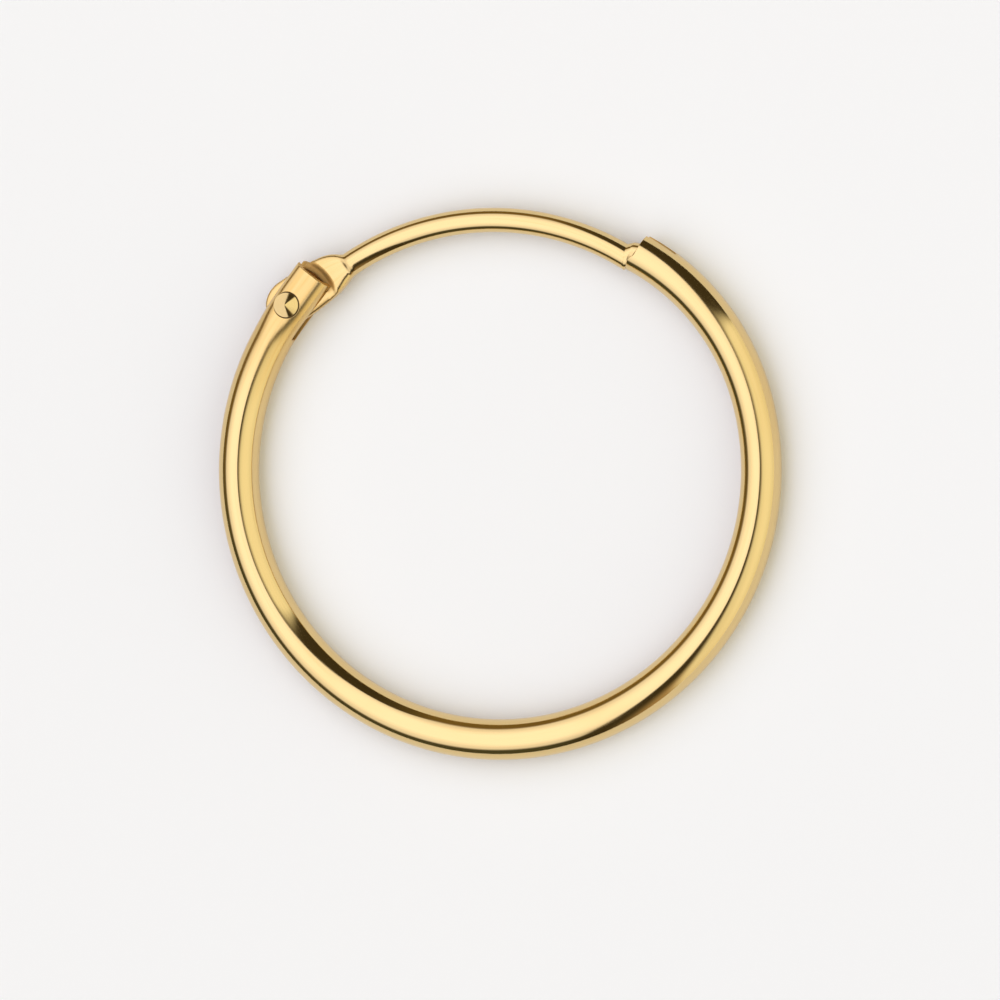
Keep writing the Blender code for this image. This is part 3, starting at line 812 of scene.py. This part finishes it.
class EARRING_OT_add_wire(Operator):
    """Add the ear wire, from the tip of its paddle over the crown to the tip of its tongue"""

    bl_idname = "earring.add_wire"
    bl_label = "Ear wire"

    def execute(self, context):
        plan = Plan(context.scene)
        wire = plan.wire
        rows = [paddle_rows(plan), round_rows(plan)]
        rows.append(tongue_rows(plan, rows[1]["along"][-1]))
        run = {name: np.concatenate([part[name] for part in rows]) for name in rows[0]}
        point, above, angle = sections(run["outer"], run["inner"], run["square"], run["tip"])
        reach = np.linalg.norm(point - plan.pivot, axis=-1) / wire.paddle_length
        pressed = through(PRESSED_AT, PRESSED, reach)
        pressed = part_way(plan.wire_radius, wire.paddle_thickness / 2, pressed)
        height = above * np.minimum(run["thick"][:, None], pressed)
        across = np.broadcast_to(heading(angle)[None] * plan.wire_radius, point.shape)
        from_tip = run["along"] + wire.paddle_end
        along = np.broadcast_to(from_tip[:, None, None], (*height.shape, 1))
        grain = np.concatenate([across, along], axis=-1).reshape(-1, 3)
        points = plan.lift(point, height)
        count = len(from_tip)
        faces = grid_faces(count, WIRE_SIDES)
        points, grain, faces = capped(points, grain, faces, count, WIRE_SIDES)
        mesh = build_mesh("ear_wire_skin", points, faces, grain)
        ring = (plan.pivot_place, wire.dull_and_shaded, wire.shoulder)
        material = gold_material("polished_wire", context.scene.earring_finish, wire.worn, ring=ring)
        piece = add_piece("sprung_wire", mesh, [material], "wire", "ear_wire")
        round_edges(piece, wire.edge)
        cut_round_hole(piece, plan.pivot_place, plan.rivet.hole / 2, plan.wire_radius)
        return {"FINISHED"}


class EARRING_OT_add_rivet(Operator):
    """Add the hinge rivet, with its low pointed head on the tube and its flush foot below"""

    bl_idname = "earring.add_rivet"
    bl_label = "Hinge rivet"

    def execute(self, context):
        """The rivet is a profile turned round its axis: the head's cone, its rim, its underside, the shank
        and the foot. The underside follows the tube: its height is the root of the power of the tube's radius
        less that of its distance across the tube."""
        plan = Plan(context.scene)
        rivet = plan.rivet
        head, shank = rivet.head_diameter / 2, rivet.diameter / 2
        seat = plan.tube_radius + rivet.head_gap
        cone_rings, under_rings, shaft_rings, foot_rings = RIVET_RINGS
        cone = np.linspace(0.02, 1.0, cone_rings)
        under = np.linspace(1.0, shank / head, under_rings)
        shaft = np.linspace(1.0, 0.0, shaft_rings)
        foot = np.linspace(0.9, 0.05, foot_rings)
        radius = [head * cone, head * under, np.full_like(shaft, shank), shank * foot]
        radius = np.concatenate(radius)[:, None]
        angle = (np.arange(RIVET_SIDES) * 2 * math.pi / RIVET_SIDES)[None, :]
        across = radius * np.sin(angle)
        power = plan.power_at(rivet.from_mouth)
        heights = (seat**power - np.abs(across) ** power) ** (1 / power)
        under_at, shaft_at, foot_at = np.cumsum(RIVET_RINGS)[:3]
        shank_top = heights[shaft_at - 1]
        rim = plan.tube_radius + rivet.head_rim
        heights[:under_at] = (rim + rivet.head_cone * (1 - cone))[:, None]
        heights[shaft_at:foot_at] = part_way(-plan.tube_radius, shank_top[None], shaft[:, None])
        heights[foot_at:] = -plan.tube_radius
        frame_x, frame_y = plan.hinge_tangent, quarter_turn(plan.hinge_tangent)
        turned = heading(angle)
        spread = radius[..., None] * (turned[..., :1] * frame_x + turned[..., 1:] * frame_y)
        heights[:under_at] -= math.tan(rivet.head_lean) * spread[:under_at, :, 0]
        spread[: shaft_at - 1, :, 0] -= rivet.head_aside
        points = plan.lift(plan.pivot + spread, heights)
        rows = len(radius)
        faces = grid_faces(rows, RIVET_SIDES)
        points, grain, faces = capped(points, points, faces, rows, RIVET_SIDES)
        mesh = build_mesh("hinge_rivet_skin", points, faces, grain)
        material = turned_material("turned_rivet", context.scene.earring_finish, plan.pivot_place)
        piece = add_piece("turned_rivet", mesh, [material], "hoop", "hinge_rivet")
        round_edges(piece, rivet.edge)
        return {"FINISHED"}


def studio_world(stage):
    """A room of soft panels round the earring. A direction's place is how far it leans from upright, in
    degrees, shared between X and Y. The overhead panel hangs over the middle and the left and dims towards
    its rim, and the side panel stands on the right. Between them is a dark gap above and a brown one below in
    the picture, and brown and olive walls stand round the foot of the room."""
    world = bpy.data.worlds.new("studio")
    bpy.context.scene.world = world
    tree = Tree(world)
    direction = tree.add("ShaderNodeTexCoord", output=0)
    x, y, z = (tree.axis(direction, number) for number in range(3))
    level = tree.maths("SQRT", x * x + y * y + 1e-9)
    lean = (180 / math.pi) * tree.maths("ARCTAN2", level, z)
    scale = tree.maths("DIVIDE", lean, level)
    right, up = x * scale, y * scale

    # The overhead panel reaches to the edge on its right and leans as far as its reach elsewhere
    edge = tree.fade(up, -5.0, 34.0, 4.0, 12.0) - tree.fade(up, 38.0, 62.0, 0.0, 13.0)
    reach = tree.fade(right, -50.0, -10.0, 67.0, 62.0)
    rim = 1 - 0.3 * tree.fade(lean - reach, -36.0, -6.0)
    rim = rim * (1 - 0.1 * tree.fade(right - edge, -16.0, 0.0))
    overhead = rim * (1 - tree.fade(right - edge, -2.0, 2.0)) * (1 - tree.fade(lean - reach, -8.0, 5.0))

    # How far a direction lies past the side panel's two slanted edges, in degrees
    above = ((up - 30.0) * 44.0 - (right - 20.0) * 34.0) * (1 / 55.6)
    below = ((right - 16.0) * 60.0 + (up + 16.0) * 28.0) * (1 / 66.2)
    side = (1 - tree.fade(above, -8.0, -1.0)) * tree.fade(below, -6.0, 5.0) * tree.fade(right, 4.0, 24.0)
    side = side * (1 - 0.16 * tree.fade(below, 30.0, 4.0)) * (1 - 0.16 * tree.fade(lean, 60.0, 90.0))
    low_glow = tree.fade(right, 13.0, 38.0) * tree.fade(up, -20.0, -60.0)
    high_glow = tree.fade(up, 40.0, 90.0) * tree.fade(right - edge, 24.0, 0.0)

    walls = tree.mixed(tree.fade(up, -25.0, 25.0), stage.olive_wall, stage.brown_wall)
    room = tree.mixed(tree.fade(right, -6.0, 10.0), walls, stage.gap)
    room = tree.mixed(0.75 * low_glow, room, stage.low_glow)
    room = tree.mixed(0.6 * high_glow, room, stage.brown_wall)
    room = tree.mixed(side, room, stage.side)
    room = tree.mixed(overhead, room, stage.overhead)
    lit = tree.scaled(room, (stage.light,) * 3)
    seen = tree.add("ShaderNodeLightPath", output=0)
    colour_seen = tree.mixed(seen, lit, stage.backdrop)
    background = tree.add("ShaderNodeBackground", {}, {"Color": colour_seen})
    tree.add("ShaderNodeOutputWorld", {}, {"Surface": background})


def floor_piece(stage):
    """The floor: a disc whose points go out from its middle by the square of their share of the way."""
    rows, columns, width = 24, 96, 3.0
    radius = width / 2 * np.linspace(0.01, 1.0, rows) ** 2
    angle = np.arange(columns) * 2 * math.pi / columns
    flat = radius[:, None, None] * heading(angle)
    points = np.concatenate([flat, np.zeros((rows, columns, 1))], axis=-1).reshape(-1, 3)
    ring = np.arange(columns)
    middle = fan(rows * columns, ring, (ring + 1) % columns)
    points = np.concatenate([points, np.zeros((1, 3))])
    mesh = build_mesh("floor", points, np.concatenate([grid_faces(rows, columns), middle]), points)
    material, tree = new_material("pale_floor")
    place = tree.place()
    cloud = tree.fade(tree.noise(tree.scaled(place, (9.0, 9.0, 9.0))), 0.3, 0.7)
    paler = tuple(0.985 * part for part in stage.floor)
    tone = tree.mixed(cloud, stage.floor, paler)
    tree.finish({"Base Color": tone, "Roughness": 0.95})
    floor = add_object("floor", mesh)
    floor.data.materials.append(material)


class EARRING_OT_set_stage(Operator):
    """Add the floor, the soft panels and the camera"""

    bl_idname = "earring.set_stage"
    bl_label = "Studio"

    def execute(self, context):
        stage = context.scene.earring_stage
        floor_piece(stage)
        studio_world(stage)
        plan = Plan(context.scene)
        back = Vector((math.sin(stage.tilt), 0.0, math.cos(stage.tilt)))
        up = Vector((0.0, 1.0, 0.0))
        right = up.cross(back)
        aim = Vector(plan.centre) + Vector((stage.aim_right, -stage.aim_down, 0.0))
        camera = add_object("camera", bpy.data.cameras.new("camera"))
        turned = Matrix((right, up, back)).transposed().to_4x4()
        camera.matrix_world = Matrix.Translation(aim + stage.distance * back) @ turned
        camera.data.sensor_width = 36.0
        camera.data.lens = camera.data.sensor_width * stage.distance / stage.frame_width
        camera.data.clip_start = 0.01
        camera.data.clip_end = 20.0
        context.scene.camera = camera
        context.scene.view_settings.view_transform = "Standard"
        context.scene.view_settings.look = "None"
        return {"FINISHED"}


class EARRING_PT_panel(Panel):
    """Lists the earring's pieces with their sizes"""

    bl_idname = "EARRING_PT_panel"
    bl_label = "Hinged Hoop Earring"
    bl_space_type = "VIEW_3D"
    bl_region_type = "UI"
    bl_category = "Earring"

    def draw(self, context):
        scene = context.scene
        self.layout.label(text="Finish")
        self.list_settings(scene.earring_finish)
        for operator, settings in (
            ("earring.add_tube", scene.earring_tube),
            ("earring.add_wire", scene.earring_wire),
            ("earring.add_rivet", scene.earring_rivet),
            ("earring.set_stage", scene.earring_stage),
        ):
            self.layout.operator(operator)
            self.list_settings(settings)

    def list_settings(self, settings):
        box = self.layout.box()
        for name in settings.__annotations__:
            box.prop(settings, name)


GROUPS = {
    "earring_tube": EARRING_PG_tube,
    "earring_wire": EARRING_PG_wire,
    "earring_rivet": EARRING_PG_rivet,
    "earring_finish": EARRING_PG_finish,
    "earring_stage": EARRING_PG_stage,
}
TOOLS = (
    EARRING_OT_add_tube,
    EARRING_OT_add_wire,
    EARRING_OT_add_rivet,
    EARRING_OT_set_stage,
    EARRING_PT_panel,
)


def register():
    for kind in (*GROUPS.values(), *TOOLS):
        bpy.utils.register_class(kind)
    for name, group in GROUPS.items():
        setattr(bpy.types.Scene, name, PointerProperty(type=group))


def unregister():
    for name in GROUPS:
        delattr(bpy.types.Scene, name)
    for kind in reversed((*GROUPS.values(), *TOOLS)):
        bpy.utils.unregister_class(kind)


def main():
    register()
    bpy.ops.earring.add_tube()
    bpy.ops.earring.add_wire()
    bpy.ops.earring.add_rivet()
    bpy.ops.earring.set_stage()


if __name__ == "__main__":
    main()
